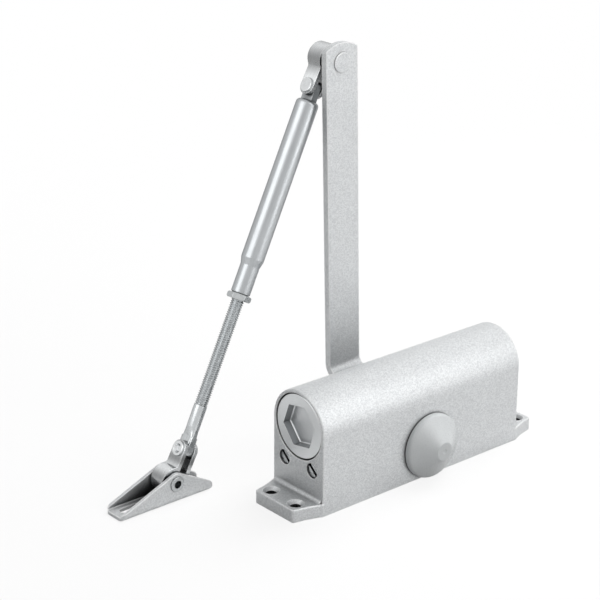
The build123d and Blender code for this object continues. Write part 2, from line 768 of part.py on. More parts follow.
def lock_nut():
    # Thin hexagon nut with a round bearing face against the tube
    nut = extrude(RegularPolygon(nut_flats / 2, 6, major_radius=False, rotation=nut_turn), nut_height)
    corner = nut_flats / sqrt(3)
    barrel = rod_between(corner, 0, nut_height)
    barrel = chamfer(barrel.edges().filter_by(GeomType.CIRCLE), nut_chamfer)
    nut = Pos(0, 0, nut_face_height) * (nut & barrel)
    nut += rod_between(nut_face_radius, 0, nut_face_height)
    nut -= rod_between(rod_radius + rod_fit, 0, nut_face_height + nut_height)
    return forearm_frame * Pos(0, 0, tube_end) * nut


def adjusting_rod():
    tongue_start = forearm_span - rod_tongue_length
    forging_start = tongue_start - rod_forging_length
    rod = rod_between(rod_radius, tube_end - rod_engaged, forging_start)
    round_end = Pos(0, 0, forging_start) * Circle(rod_radius)
    flat_end = RectangleRounded(tongue_thickness, tongue_width, tongue_edge_round)
    rod += loft([round_end, Pos(0, 0, tongue_start) * flat_end])
    rod += tongue(tongue_start, forearm_span, forearm_span)
    return forearm_frame * rod


def shoe_side_outline():
    # Side wall drawn about the pin: low toe, lobe round the pin, rounded heel, straight tangents between
    toe_foot = Vector(-shoe_toe_length, -pin_height)
    toe_top = toe_foot + Vector(0, shoe_toe_height)
    heel = Vector(shoe_heel_length - shoe_heel_radius, shoe_heel_radius - pin_height)
    heel_foot = heel - Vector(0, shoe_heel_radius)
    toe_turn = atan2(toe_top.Y, toe_top.X) - acos(shoe_lobe_radius / toe_top.length)
    heel_turn = atan2(heel.Y, heel.X) + acos((shoe_lobe_radius - shoe_heel_radius) / heel.length)
    lobe_start = Vector(*polar(shoe_lobe_radius, toe_turn))
    lobe_end = Vector(*polar(shoe_lobe_radius, heel_turn))
    lobe_top = (lobe_start + lobe_end).normalized() * shoe_lobe_radius
    heel_top = heel + Vector(*polar(shoe_heel_radius, heel_turn))
    heel_back = heel + Vector(*polar(shoe_heel_radius, (heel_turn - pi / 2) / 2))
    outline = Line(toe_foot, toe_top) + Line(toe_top, lobe_start)
    outline += ThreePointArc(lobe_start, lobe_top, lobe_end) + Line(lobe_end, heel_top)
    outline += ThreePointArc(heel_top, heel_back, heel_foot) + Line(heel_foot, toe_foot)
    return make_face(outline)


def shoe_place():
    return Plane(shoe_pin_point, x_dir=(1, 0, 0), z_dir=(0, -1, 0))


def shoe_section():
    # Channel section of the bent sheet, open at the top
    height = pin_height + shoe_lobe_radius
    outer = Rectangle(height, 2 * shoe_half, align=(Align.MIN, Align.CENTER))
    outer = fillet(outer.vertices().group_by(Axis.X)[0], shoe_inner_bend + shoe_thickness)
    inner = Rectangle(height, 2 * (shoe_half - shoe_thickness), align=(Align.MIN, Align.CENTER))
    inner = fillet(inner.vertices().group_by(Axis.X)[0], shoe_inner_bend)
    return Pos(-pin_height, 0) * (outer - Pos(shoe_thickness, 0) * inner)


def shoe_plan():
    # Outline from above, with round corners at the toe
    length = shoe_toe_length + shoe_heel_length
    plan = Pos(-shoe_toe_length, 0) * Rectangle(length, 2 * shoe_half, align=(Align.MIN, Align.CENTER))
    return fillet(plan.vertices().group_by(Axis.X)[0], shoe_corner_radius)


def shoe_bracket():
    base = Plane((0, -pin_height, 0), x_dir=(1, 0, 0), z_dir=(0, 1, 0))
    bracket = extrude(Plane.YZ * shoe_section(), shoe_toe_length + shoe_heel_length, both=True)
    bracket &= extrude(shoe_side_outline(), shoe_half, both=True)
    bracket &= extrude(base * shoe_plan(), pin_height + shoe_lobe_radius)
    bracket -= rod_between(pin_radius + pin_fit, -shoe_half, shoe_half)
    for centre in (shoe_toe_slot, shoe_heel_slot):
        slot = Pos(centre, 0) * SlotOverall(shoe_slot_length, 2 * shoe_slot_radius)
        bracket -= extrude(base * slot, shoe_thickness)
    return shoe_place() * bracket


def shoe_pin():
    # Hollow rivet with a flange rolled over each wall
    reach = shoe_half + eyelet_flange_height
    rim = rod_between(eyelet_flange_radius, shoe_half, reach)
    rim = fillet(rim.faces().sort_by(Axis.Z)[-1].edges(), eyelet_flange_height / 2)
    pin = rod_between(pin_radius, -reach, reach) + rim + mirror(rim, Plane.XY)
    pin -= rod_between(eyelet_bore_radius, -reach, reach)
    return shoe_place() * pin


def shoe_bush():
    half = shoe_half - shoe_thickness
    return shoe_place() * ring_between(bush_radius, pin_radius + pin_fit, -half, half)


pieces = {
    "housing": housing(),
    "left_end_plug": end_plug(-1),
    "right_end_plug": end_plug(1),
    "left_plug_seal": plug_seal(-1),
    "right_plug_seal": plug_seal(1),
    "closing_valve_screw": valve_screw(-1),
    "closing_valve_seal": valve_seal(-1),
    "latching_valve_screw": valve_screw(1),
    "latching_valve_seal": valve_seal(1),
    "pinion_shaft": pinion_shaft(),
    "front_bearing": shaft_bearing(-1),
    "back_bearing": shaft_bearing(1),
    "front_shaft_seal": shaft_seal(-1),
    "back_shaft_seal": shaft_seal(1),
    "bearing_retainer": bearing_retainer(),
    "spindle_cap": spindle_cap(),
    "piston": piston(),
    "check_valve_ball": check_ball(),
    "check_valve_ring": check_ring(),
    "main_spring": main_spring(),
    "main_arm": main_arm(),
    "arm_washer": arm_washer(),
    "arm_screw": arm_screw(),
    "elbow_rivet": elbow_rivet(),
    "elbow_bush": elbow_bush(),
    "elbow_washer": elbow_washer(),
    "elbow_knuckle": strap_knuckle(elbow_frame, 0),
    "tube_rivet": cross_rivet(tube_rivet_frame),
    "forearm_tube": forearm_tube(),
    "lock_nut": lock_nut(),
    "adjusting_rod": adjusting_rod(),
    "rod_rivet": cross_rivet(rod_rivet_frame),
    "shoe_knuckle": strap_knuckle(shoe_frame, shoe_leg_offset),
    "shoe_bush": shoe_bush(),
    "shoe_pin": shoe_pin(),
    "shoe_bracket": shoe_bracket(),
}

os.makedirs("parts", exist_ok=True)
for name, shape in pieces.items():
    export_step(shape, f"parts/{name}.step")
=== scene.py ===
import json
import math
import bmesh
import bpy
from mathutils import Matrix, Vector


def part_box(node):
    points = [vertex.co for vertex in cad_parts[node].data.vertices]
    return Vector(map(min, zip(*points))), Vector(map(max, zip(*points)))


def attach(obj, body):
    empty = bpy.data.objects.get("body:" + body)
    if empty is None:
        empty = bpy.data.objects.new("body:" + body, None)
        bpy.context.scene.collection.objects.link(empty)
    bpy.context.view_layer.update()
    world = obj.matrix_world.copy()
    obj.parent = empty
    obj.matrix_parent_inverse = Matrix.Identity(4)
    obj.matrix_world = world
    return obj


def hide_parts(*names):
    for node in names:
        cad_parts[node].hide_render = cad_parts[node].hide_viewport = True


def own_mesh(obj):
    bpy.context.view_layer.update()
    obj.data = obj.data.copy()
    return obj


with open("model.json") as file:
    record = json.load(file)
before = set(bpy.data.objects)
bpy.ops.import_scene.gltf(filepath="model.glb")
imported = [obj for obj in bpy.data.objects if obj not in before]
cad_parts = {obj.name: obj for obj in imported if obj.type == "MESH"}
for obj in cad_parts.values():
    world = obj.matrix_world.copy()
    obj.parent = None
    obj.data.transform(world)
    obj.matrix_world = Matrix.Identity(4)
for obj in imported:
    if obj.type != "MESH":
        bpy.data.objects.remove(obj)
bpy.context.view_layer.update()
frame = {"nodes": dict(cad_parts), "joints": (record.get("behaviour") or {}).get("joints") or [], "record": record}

mm = 0.001
sharpFrom = math.radians(35)  # an edge stays sharp where its faces turn by more than this
noiseLow, noiseHigh = 0.3, 0.7  # nearly all values of a Noise texture lie between these
fromLow, fromHigh, toLow, toHigh = 1, 2, 3, 4  # sockets of a Map Range node
colourA, colourB, mixedColour = 6, 7, 2  # sockets of a colour Mix node
scene = bpy.context.scene
nodes = frame["nodes"]
joints = {joint["name"]: joint for joint in frame["joints"]}
print("frame loaded:", len(nodes), "nodes")


def hexColour(code):  # sRGB hex to linear
    parts = [int(code[i:i + 2], 16) / 255 for i in (1, 3, 5)]
    return tuple(c / 12.92 if c <= 0.04045 else ((c + 0.055) / 1.055) ** 2.4 for c in parts) + (1.0,)


def addNode(tree, kind, inputs=None, **settings):  # a socket is linked, anything else is set
    node = tree.nodes.new(kind)
    for key, value in settings.items():
        setattr(node, key, value)
    for key, value in (inputs or {}).items():
        if isinstance(value, bpy.types.NodeSocket):
            tree.links.new(value, node.inputs[key])
        else:
            node.inputs[key].default_value = value
    return node


def startMaterial(name):  # an empty material, its tree and its object coordinates
    made = bpy.data.materials.new(name)
    made.use_nodes = True
    made.node_tree.nodes.clear()
    place = addNode(made.node_tree, "ShaderNodeTexCoord").outputs["Object"]
    return made, made.node_tree, place


def endMaterial(tree, shader):
    addNode(tree, "ShaderNodeOutputMaterial", {"Surface": shader.outputs[0]})


def roundEdges(tree, v):  # normals of softened edges, and how strongly each spot shows as an edge
    rounded = addNode(tree, "ShaderNodeBevel", {"Radius": v["edgeRadius"] * mm}, samples=4).outputs[0]
    flat = addNode(tree, "ShaderNodeNewGeometry").outputs["True Normal"]
    turn = addNode(tree, "ShaderNodeVectorMath", {0: rounded, 1: flat}, operation="DOT_PRODUCT")
    flatAt, fullAt = v["edgeTurn"]  # cosines of the turn where an edge begins and is full
    edge = addNode(tree, "ShaderNodeMapRange", {"Value": turn.outputs["Value"], fromLow: flatAt, fromHigh: fullAt,
                                                toLow: 0.0, toHigh: v["edgeShow"]})
    return rounded, edge.outputs[0]


def perMetre(size):  # texture scale for a pattern of this size in millimetres
    return 1 / (size * mm)


def waveScale(step):  # scale of a Wave texture with its crests this many millimetres apart
    return math.pi / 10 * perMetre(step)


def turnTo(axis):  # rotation that lays a world axis along Z
    return Vector(axis).to_track_quat("Z", "Y").inverted().to_euler()


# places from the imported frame
plugLow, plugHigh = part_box("left_end_plug")
boreAxis = (plugLow + plugHigh) / 2
plugRadius = (plugHigh.y - plugLow.y) / 2
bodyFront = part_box("housing")[0].y
elbowPoint = Vector(joints["elbow"]["pos_m"])
shoePoint = Vector(joints["shoe_pivot"]["pos_m"])
tubeStart = Vector(joints["forearm_sway"]["pos_m"])
tubeAxis = Vector(joints["length_adjust"]["axis"])


# silver metallic lacquer sprayed on castings and strip: satin film with a fine glint, a painted highlight on edges,
# painted shade between pieces and dark painted shade inside recesses
silverLacquer = {
    "film": "#cfd1d2", "flakeDark": "#c2c4c6", "flakeLight": "#dddfe0", "edge": "#fcfcfc", "paintedShade": "#1c1c1d",
    "flakeSize": 0.55, "filmShare": 0.45, "cloudSize": 26, "cloudTone": (0.97, 1.02), "peelSize": 2.2,
    "peelBump": 0.05, "peelDepth": 0.3, "grainBump": 0.05, "grainDepth": 0.1, "metallic": 0.55, "rough": (0.41, 0.53),
    "edgeRadius": 1.0, "edgeTurn": (0.99, 0.9), "edgeShow": 1.0,
    # reach in millimetres, openness from shut to clear, and the least tone
    "jointShade": (1.8, 0.35, 0.85, 0.35), "nookShade": (45, 0.45, 0.85, 0.79),
    "deepReach": 16, "deepOpen": (0.38, 0.66)}


def makeSilverLacquer(v):
    made, tree, place = startMaterial("silverLacquerSprayed")
    # real flakes are 0.05 mm, drawn coarser so that they show
    flakes = addNode(tree, "ShaderNodeTexVoronoi", {"Vector": place, "Scale": perMetre(v["flakeSize"])})
    glint = addNode(tree, "ShaderNodeSeparateColor", {"Color": flakes.outputs["Color"]})
    tint = addNode(tree, "ShaderNodeValToRGB", {"Fac": glint.outputs[0]})
    tint.color_ramp.elements[0].color = hexColour(v["flakeDark"])
    tint.color_ramp.elements[1].color = hexColour(v["flakeLight"])
    tint.color_ramp.elements.new(v["filmShare"]).color = hexColour(v["film"])
    cloud = addNode(tree, "ShaderNodeTexNoise", {"Vector": place, "Scale": perMetre(v["cloudSize"]), "Detail": 3.0})
    dim, bright = v["cloudTone"]
    tone = addNode(tree, "ShaderNodeMapRange", {"Value": cloud.outputs["Fac"], fromLow: noiseLow, fromHigh: noiseHigh,
                                                toLow: dim, toHigh: bright}).outputs[0]
    # painted shade: Ambient Occlusion darkens the joints with other pieces and the nooks between pieces
    for reach, shut, clear, least in (v["jointShade"], v["nookShade"]):
        near = addNode(tree, "ShaderNodeAmbientOcclusion", {"Distance": reach * mm}, samples=8)
        paintedShadeFactor = addNode(tree, "ShaderNodeMapRange", {"Value": near.outputs["AO"], fromLow: shut, fromHigh: clear,
                                                    toLow: least, toHigh: 1.0})
        tone = addNode(tree, "ShaderNodeMath", {0: tone, 1: paintedShadeFactor.outputs[0]}, operation="MULTIPLY").outputs[0]
    drift = addNode(tree, "ShaderNodeVectorMath", {0: tint.outputs["Color"], "Scale": tone}, operation="SCALE")
    # painted shade: dark inside the piece's own recesses, from a local Ambient Occlusion
    depth = addNode(tree, "ShaderNodeAmbientOcclusion", {"Distance": v["deepReach"] * mm}, samples=8,
                    only_local=True)
    shut, clear = v["deepOpen"]
    openToLight = addNode(tree, "ShaderNodeMapRange", {"Value": depth.outputs["AO"], fromLow: shut, fromHigh: clear})
    withPaintedShade = addNode(tree, "ShaderNodeMix", {"Factor": openToLight.outputs[0], colourA: hexColour(v["paintedShade"]),
                                             colourB: drift.outputs[0]}, data_type="RGBA")
    # rounded edges catch light through their softened normals, and a near-white colour on them paints a highlight
    # there
    rounded, edge = roundEdges(tree, v)
    paintedEdgeHighlight = addNode(tree, "ShaderNodeMath", {0: edge, 1: openToLight.outputs[0]}, operation="MULTIPLY")
    colour = addNode(tree, "ShaderNodeMix", {"Factor": paintedEdgeHighlight.outputs[0], colourA: withPaintedShade.outputs[mixedColour],
                                            colourB: hexColour(v["edge"])}, data_type="RGBA")
    peel = addNode(tree, "ShaderNodeTexNoise", {"Vector": place, "Scale": perMetre(v["peelSize"]), "Detail": 2.0})
    skin = addNode(tree, "ShaderNodeBump", {"Height": peel.outputs["Fac"], "Strength": v["peelBump"],
                                            "Distance": v["peelDepth"] * mm, "Normal": rounded})
    grain = addNode(tree, "ShaderNodeBump", {"Height": glint.outputs[1], "Strength": v["grainBump"],
                                             "Distance": v["grainDepth"] * mm, "Normal": skin.outputs[0]})
    glossy, matt = v["rough"]
    rough = addNode(tree, "ShaderNodeMapRange", {"Value": glint.outputs[2], toLow: glossy, toHigh: matt})
    shader = addNode(tree, "ShaderNodeBsdfPrincipled", {
        "Base Color": colour.outputs[mixedColour], "Metallic": v["metallic"], "Roughness": rough.outputs[0],
        "Normal": grain.outputs[0]})
    endMaterial(tree, shader)
    return made


# zinc-aluminium plug, die cast and faced on a lathe: pale grey, fine rings round its axis
turnedPlug = {
    "metal": "#e0e2e3", "ring": "#d3d5d6", "edge": "#eeefef", "paintedShade": "#151516", "wall": "#8e9092",
    "ringStep": 0.9, "ringWaver": 0.6, "ringBump": 0.05, "ringDepth": 0.05, "cloudSize": 5, "metallic": 0.9,
    "rough": (0.28, 0.42), "stretch": 0.5, "edgeRadius": 0.45, "edgeTurn": (0.97, 0.75), "edgeShow": 0.6,
    "wallTurn": (0.5, 0.2), "groove": (0.85, 0.51), "grooveTone": 0.1, "deepReach": 9, "deepOpen": (0.0, 0.62)}


def makeTurnedPlug(v):
    made, tree, place = startMaterial("zincAlloyTurned")
    centred = addNode(tree, "ShaderNodeMapping", {"Vector": place, "Location": (0, 0, -boreAxis.z)})
    # lathe rings are about 0.15 mm apart, drawn coarser so that they show
    rings = addNode(tree, "ShaderNodeTexWave", {"Vector": centred.outputs[0], "Scale": waveScale(v["ringStep"]),
                                                "Distortion": v["ringWaver"], "Detail": 2.0},
                    wave_type="RINGS", rings_direction="X")
    cloud = addNode(tree, "ShaderNodeTexNoise", {"Vector": place, "Scale": perMetre(v["cloudSize"]), "Detail": 4.0})
    blend = addNode(tree, "ShaderNodeMath", {0: rings.outputs["Fac"], 1: cloud.outputs["Fac"]},
                    operation="MULTIPLY")
    rounded, edge = roundEdges(tree, v)
    faced = addNode(tree, "ShaderNodeMix", {"Factor": blend.outputs[0], colourA: hexColour(v["metal"]),
                                           colourB: hexColour(v["ring"])}, data_type="RGBA")
    bright = addNode(tree, "ShaderNodeMix", {"Factor": edge, colourA: faced.outputs[mixedColour],
                                            colourB: hexColour(v["edge"])}, data_type="RGBA")
    # painted shade: the socket's walls, which face across the axis, are darker than its floor
    facing = addNode(tree, "ShaderNodeSeparateXYZ", {
        0: addNode(tree, "ShaderNodeNewGeometry").outputs["True Normal"]})
    square = addNode(tree, "ShaderNodeMath", {0: facing.outputs["X"]}, operation="ABSOLUTE")
    floorAt, wallAt = v["wallTurn"]
    wall = addNode(tree, "ShaderNodeMapRange", {"Value": square.outputs[0], fromLow: floorAt, fromHigh: wallAt})
    wallsShaded = addNode(tree, "ShaderNodeMix", {"Factor": wall.outputs[0], colourA: bright.outputs[mixedColour],
                                              colourB: hexColour(v["wall"])}, data_type="RGBA")
    # painted shadow: the plug's outer rim next to the groove round it is dark, and painted shade darkens the corners
    # of the socket
    across = addNode(tree, "ShaderNodeVectorMath", {0: centred.outputs[0], 1: (0, 1, 1)}, operation="MULTIPLY")
    away = addNode(tree, "ShaderNodeVectorMath", {0: across.outputs[0]}, operation="LENGTH")
    cleanAt, darkAt = (plugRadius - inset * mm for inset in v["groove"])
    groove = addNode(tree, "ShaderNodeMapRange", {"Value": away.outputs["Value"], fromLow: cleanAt,
                                                  fromHigh: darkAt, toLow: 1.0, toHigh: v["grooveTone"]})
    depth = addNode(tree, "ShaderNodeAmbientOcclusion", {"Distance": v["deepReach"] * mm}, samples=8)
    shut, clear = v["deepOpen"]
    opened = addNode(tree, "ShaderNodeMapRange", {"Value": depth.outputs["AO"], fromLow: shut, fromHigh: clear})
    shadeFree = addNode(tree, "ShaderNodeMath", {0: groove.outputs[0], 1: opened.outputs[0]}, operation="MULTIPLY")
    colour = addNode(tree, "ShaderNodeMix", {"Factor": shadeFree.outputs[0], colourA: hexColour(v["paintedShade"]),
                                            colourB: wallsShaded.outputs[mixedColour]}, data_type="RGBA")
    bump = addNode(tree, "ShaderNodeBump", {"Height": rings.outputs["Fac"], "Strength": v["ringBump"],
                                            "Distance": v["ringDepth"] * mm, "Normal": rounded})
    lathe = addNode(tree, "ShaderNodeTangent", direction_type="RADIAL", axis="X")
    glossy, matt = v["rough"]
    rough = addNode(tree, "ShaderNodeMapRange", {"Value": cloud.outputs["Fac"], toLow: glossy, toHigh: matt})
    shader = addNode(tree, "ShaderNodeBsdfPrincipled", {
        "Base Color": colour.outputs[mixedColour], "Metallic": v["metallic"], "Roughness": rough.outputs[0],
        "Anisotropic": v["stretch"], "Tangent": lathe.outputs[0], "Normal": bump.outputs[0]})
    endMaterial(tree, shader)
    return made


# grey ABS, injection moulded: satin skin with a faint spark texture, slightly paler where rubbed
mouldedCap = {
    "body": "#d4d7d8", "low": "#cdd0d1", "edge": "#e2e4e5", "foot": "#2b2c2d", "footHeight": (1.0, 0.5),
    "sparkSize": 0.5, "sparkBump": 0.06, "sparkDepth": 0.1, "flowSize": 9, "flowWaver": 0.8,
    "rough": (0.22, 0.35), "ior": 1.53, "edgeRadius": 0.5, "edgeTurn": (0.98, 0.85), "edgeShow": 0.6}


def makeMouldedCap(v):
    made, tree, place = startMaterial("absMouldedGrey")
    spark = addNode(tree, "ShaderNodeTexNoise", {"Vector": place, "Scale": perMetre(v["sparkSize"]), "Detail": 2.0})
    flow = addNode(tree, "ShaderNodeTexNoise", {"Vector": place, "Scale": perMetre(v["flowSize"]), "Detail": 3.0,
                                                "Distortion": v["flowWaver"]})
    rounded, edge = roundEdges(tree, v)
    tone = addNode(tree, "ShaderNodeMix", {"Factor": flow.outputs["Fac"], colourA: hexColour(v["low"]),
                                          colourB: hexColour(v["body"])}, data_type="RGBA")
    rubbed = addNode(tree, "ShaderNodeMix", {"Factor": edge, colourA: tone.outputs[mixedColour],
                                            colourB: hexColour(v["edge"])}, data_type="RGBA")
    # painted shadow: the rim is dark next to the body, where it meets it
    spot = addNode(tree, "ShaderNodeSeparateXYZ", {0: place})
    cleanAt, darkAt = (bodyFront - height * mm for height in v["footHeight"])
    foot = addNode(tree, "ShaderNodeMapRange", {"Value": spot.outputs["Y"], fromLow: cleanAt, fromHigh: darkAt})
    colour = addNode(tree, "ShaderNodeMix", {"Factor": foot.outputs[0], colourA: rubbed.outputs[mixedColour],
                                            colourB: hexColour(v["foot"])}, data_type="RGBA")
    bump = addNode(tree, "ShaderNodeBump", {"Height": spark.outputs["Fac"], "Strength": v["sparkBump"],
                                            "Distance": v["sparkDepth"] * mm, "Normal": rounded})
    glossy, matt = v["rough"]
    rough = addNode(tree, "ShaderNodeMapRange", {"Value": spark.outputs["Fac"], toLow: glossy, toHigh: matt})
    shader = addNode(tree, "ShaderNodeBsdfPrincipled", {
        "Base Color": colour.outputs[mixedColour], "Roughness": rough.outputs[0], "IOR": v["ior"],
        "Normal": bump.outputs[0]})
    endMaterial(tree, shader)
    return made


# steel, plain or plated: soft clouds from low to high, marks from its making along local Z, worn edges, and painted
# shade in recesses; a strip also has painted bands of light and shade across it
plainSteel = {
    "markTone": (0.93, 1.06), "bump": 0.06, "bumpDepth": 0.05, "turn": (0, 0, 0), "oil": "#121213",
    "deepReach": 3, "deepOpen": (0.15, 0.65), "edgeTurn": (0.97, 0.75), "edgeShow": 0.6}


def makeSteel(name, v):
    made, tree, place = startMaterial(name)
    turned = addNode(tree, "ShaderNodeMapping", {"Vector": place, "Rotation": v["turn"]})
    drawn = addNode(tree, "ShaderNodeMapping", {"Vector": turned.outputs[0],
                                                "Scale": tuple(perMetre(size) for size in v["markSize"])})
    marks = addNode(tree, "ShaderNodeTexNoise", {"Vector": drawn.outputs[0], "Scale": 1.0, "Detail": 4.0})
    cloud = addNode(tree, "ShaderNodeTexNoise", {"Vector": place, "Scale": perMetre(v["cloudSize"]), "Detail": 4.0})
    rounded, edge = roundEdges(tree, v)
    tone = addNode(tree, "ShaderNodeMix", {"Factor": cloud.outputs["Fac"], colourA: hexColour(v["low"]),
                                          colourB: hexColour(v["high"])}, data_type="RGBA")
    dim, lit = v["markTone"]
    streak = addNode(tree, "ShaderNodeMapRange", {"Value": marks.outputs["Fac"], fromLow: noiseLow,
                                                  fromHigh: noiseHigh, toLow: dim, toHigh: lit})
    lined = addNode(tree, "ShaderNodeVectorMath", {0: tone.outputs[mixedColour], "Scale": streak.outputs[0]},
                    operation="SCALE")
    # painted light and shade: bright and dark bands across a strip, placed to fall on its bends
    if "bandStep" in v:
        bands = addNode(tree, "ShaderNodeTexWave", {
            "Vector": turned.outputs[0], "Scale": waveScale(v["bandStep"]),
            "Phase Offset": math.pi - 2 * math.pi * v["bandPeak"] / (v["bandStep"] * mm)}, bands_direction="Z")
        shade = addNode(tree, "ShaderNodeMapRange", {"Value": bands.outputs["Fac"], toLow: v["bandPaintedShade"],
                                                     toHigh: v["bandPaintedLight"]})
        lined = addNode(tree, "ShaderNodeVectorMath", {0: lined.outputs[0], "Scale": shade.outputs[0]},
                        operation="SCALE")
    bright = addNode(tree, "ShaderNodeMix", {"Factor": edge, colourA: lined.outputs[0],
                                            colourB: hexColour(v["edge"])}, data_type="RGBA")
    # painted shade: dark in recesses, from Ambient Occlusion
    depth = addNode(tree, "ShaderNodeAmbientOcclusion", {"Distance": v["deepReach"] * mm}, samples=8)
    shut, clear = v["deepOpen"]
    shadeFree = addNode(tree, "ShaderNodeMapRange", {"Value": depth.outputs["AO"], fromLow: shut, fromHigh: clear})
    colour = addNode(tree, "ShaderNodeMix", {"Factor": shadeFree.outputs[0], colourA: hexColour(v["oil"]),
                                            colourB: bright.outputs[mixedColour]}, data_type="RGBA")
    bump = addNode(tree, "ShaderNodeBump", {"Height": marks.outputs["Fac"], "Strength": v["bump"],
                                            "Distance": v["bumpDepth"] * mm, "Normal": rounded})
    glossy, matt = v["rough"]
    rough = addNode(tree, "ShaderNodeMapRange", {"Value": cloud.outputs["Fac"], fromLow: noiseLow,
                                                 fromHigh: noiseHigh, toLow: glossy, toHigh: matt})
    shader = addNode(tree, "ShaderNodeBsdfPrincipled", {
        "Base Color": colour.outputs[mixedColour], "Metallic": 1.0, "Roughness": rough.outputs[0],
        "Specular Tint": hexColour(v["rim"]), "Normal": bump.outputs[0]})
    endMaterial(tree, shader)
    return made


# drawn tube with a satin plate: long draw lines, clear bands of light
drawnTube = {
    **plainSteel, "low": "#a9acae", "high": "#b3b6b8", "edge": "#dfe1e2", "rim": "#b0b0b0",
    "rough": (0.26, 0.38), "deepOpen": (0.15, 0.95), "cloudSize": 14, "edgeRadius": 0.5, "turn": turnTo(tubeAxis),
    "markSize": (0.9, 0.9, 60)}
# bright zinc plate on nut and screws: cool pale grey with a soft cloud, painted shade in the slots
zincPlate = {
    **plainSteel, "low": "#b2b5b6", "high": "#c0c3c4", "edge": "#e4e6e7", "rim": "#c0c0c0",
    "rough": (0.23, 0.35), "bump": 0.08, "cloudSize": 3, "edgeRadius": 0.35, "deepReach": 4, "deepOpen": (0.15, 0.9),
    "markSize": (0.8, 0.8, 0.8)}
# the same plate on the rolled thread: brighter on the crests
rolledThread = {
    **plainSteel, "low": "#b6b9bb", "high": "#c8cbcc", "edge": "#eceeee", "rim": "#c0c0c0",
    "rough": (0.21, 0.33), "bump": 0.05, "cloudSize": 3, "edgeRadius": 0.2, "deepReach": 1, "deepOpen": (0.15, 0.5),
    "turn": turnTo(tubeAxis), "markSize": (1.2, 1.2, 12)}
# silver-coated strip, bent cold: painted light and shade in soft bands across it, brightest near its loop at the
# elbow
rolledStrip = {
    **plainSteel, "low": "#c9cbcc", "high": "#d6d8d9", "edge": "#e8e9ea", "rim": "#c0c0c0",
    "rough": (0.19, 0.31), "cloudSize": 6, "edgeRadius": 0.6, "deepReach": 8, "turn": turnTo(tubeAxis),
    "markSize": (1.0, 1.0, 14),
    "bandStep": 22.58, "bandPeak": elbowPoint.dot(tubeAxis) - 8 * mm, "bandPaintedShade": 0.42, "bandPaintedLight": 1.3}
# the lower strap's painted bands of light and shade are narrower, round its bend over the shoe's pin
shoeStrip = {
    **rolledStrip, "bandStep": 12.4, "bandPeak": shoePoint.dot(tubeAxis) - 6.4 * mm, "bandPaintedShade": 0.45,
    "bandPaintedLight": 1.2}
# the straps' rivets, headed cold: glossy, with little painted shade down into the dish of the head
headedRivet = {
    **plainSteel, "low": "#cdcfd0", "high": "#dadcdd", "edge": "#ecedee", "rim": "#c0c0c0",
    "rough": (0.15, 0.27), "bump": 0.04, "cloudSize": 4, "edgeRadius": 0.4, "deepReach": 1.5, "deepOpen": (0.15, 0.4),
    "markTone": (0.95, 1.06), "markSize": (1.5, 1.5, 1.5)}
# plain turned steel bushes, oiled: darker, rings round Y
turnedBush = {
    **plainSteel, "low": "#6c6f72", "high": "#85888b", "edge": "#b5b8ba", "rim": "#b0b0b0",
    "rough": (0.27, 0.39), "bump": 0.12, "cloudSize": 5, "edgeRadius": 0.3, "markSize": (8, 0.7, 8)}
# machined and oiled inner parts: mid grey, rings round X
machinedSteel = {
    **plainSteel, "low": "#76797b", "high": "#8f9294", "edge": "#bcbebf", "rim": "#d0d0d0",
    "rough": (0.23, 0.35), "bump": 0.10, "cloudSize": 6, "edgeRadius": 0.3, "markSize": (0.7, 9, 9)}
# oil-tempered spring wire: dark blue-grey, smooth
temperedWire = {
    **plainSteel, "low": "#3f4145", "high": "#55585c", "edge": "#85888b", "rim": "#d0d0d0",
    "rough": (0.31, 0.43), "cloudSize": 4, "edgeRadius": 0.2, "markSize": (2, 2, 2)}

# black nitrile rubber, moulded: matt, a little bloom
nitrileRing = {"low": "#121213", "high": "#232324", "rough": 0.62, "ior": 1.52, "bloomSize": 2, "bump": 0.1,
               "bumpDepth": 0.05}


def makeNitrileRing(v):
    made, tree, place = startMaterial("nitrileMoulded")
    bloom = addNode(tree, "ShaderNodeTexNoise", {"Vector": place, "Scale": perMetre(v["bloomSize"]), "Detail": 4.0})
    tone = addNode(tree, "ShaderNodeMix", {"Factor": bloom.outputs["Fac"], colourA: hexColour(v["low"]),
                                          colourB: hexColour(v["high"])}, data_type="RGBA")
    bump = addNode(tree, "ShaderNodeBump", {"Height": bloom.outputs["Fac"], "Strength": v["bump"],
                                            "Distance": v["bumpDepth"] * mm})
    shader = addNode(tree, "ShaderNodeBsdfPrincipled", {
        "Base Color": tone.outputs[mixedColour], "Roughness": v["rough"], "IOR": v["ior"],
        "Normal": bump.outputs[0]})
    endMaterial(tree, shader)
    return made


finishes = {
    "silver_paint": makeSilverLacquer(silverLacquer),
    "plug_alloy": makeTurnedPlug(turnedPlug),
    "cap_plastic": makeMouldedCap(mouldedCap),
    "satin_tube": makeSteel("steelDrawnSatinPlate", drawnTube),
    "zinc_steel": makeSteel("steelBrightZincPlate", zincPlate),
    "strap_steel": makeSteel("steelRolledSilverCoat", rolledStrip),
    "bush_steel": makeSteel("steelTurnedOiled", turnedBush),
    "machined_steel": makeSteel("steelMachinedOiled", machinedSteel),
    "spring_steel": makeSteel("steelWireOilTempered", temperedWire),
    "seal_rubber": makeNitrileRing(nitrileRing),
}
for subpart in frame["record"]["subparts"]:
    mesh = nodes[subpart["node"]].data
    mesh.materials.clear()
    mesh.materials.append(finishes[subpart["material_slot"]])
# pieces that differ a little from the rest of their slot
ownFinishes = {"steelRivetColdHeaded": (headedRivet, ("tube_rivet", "rod_rivet")),
               "steelRolledNarrowPaintedBands": (shoeStrip, ("shoe_knuckle",))}
for title, (values, names) in ownFinishes.items():
    finish = makeSteel(title, values)
    for name in names:
        nodes[name].data.materials[0] = finish
print("finishes:", len(finishes) + len(ownFinishes))


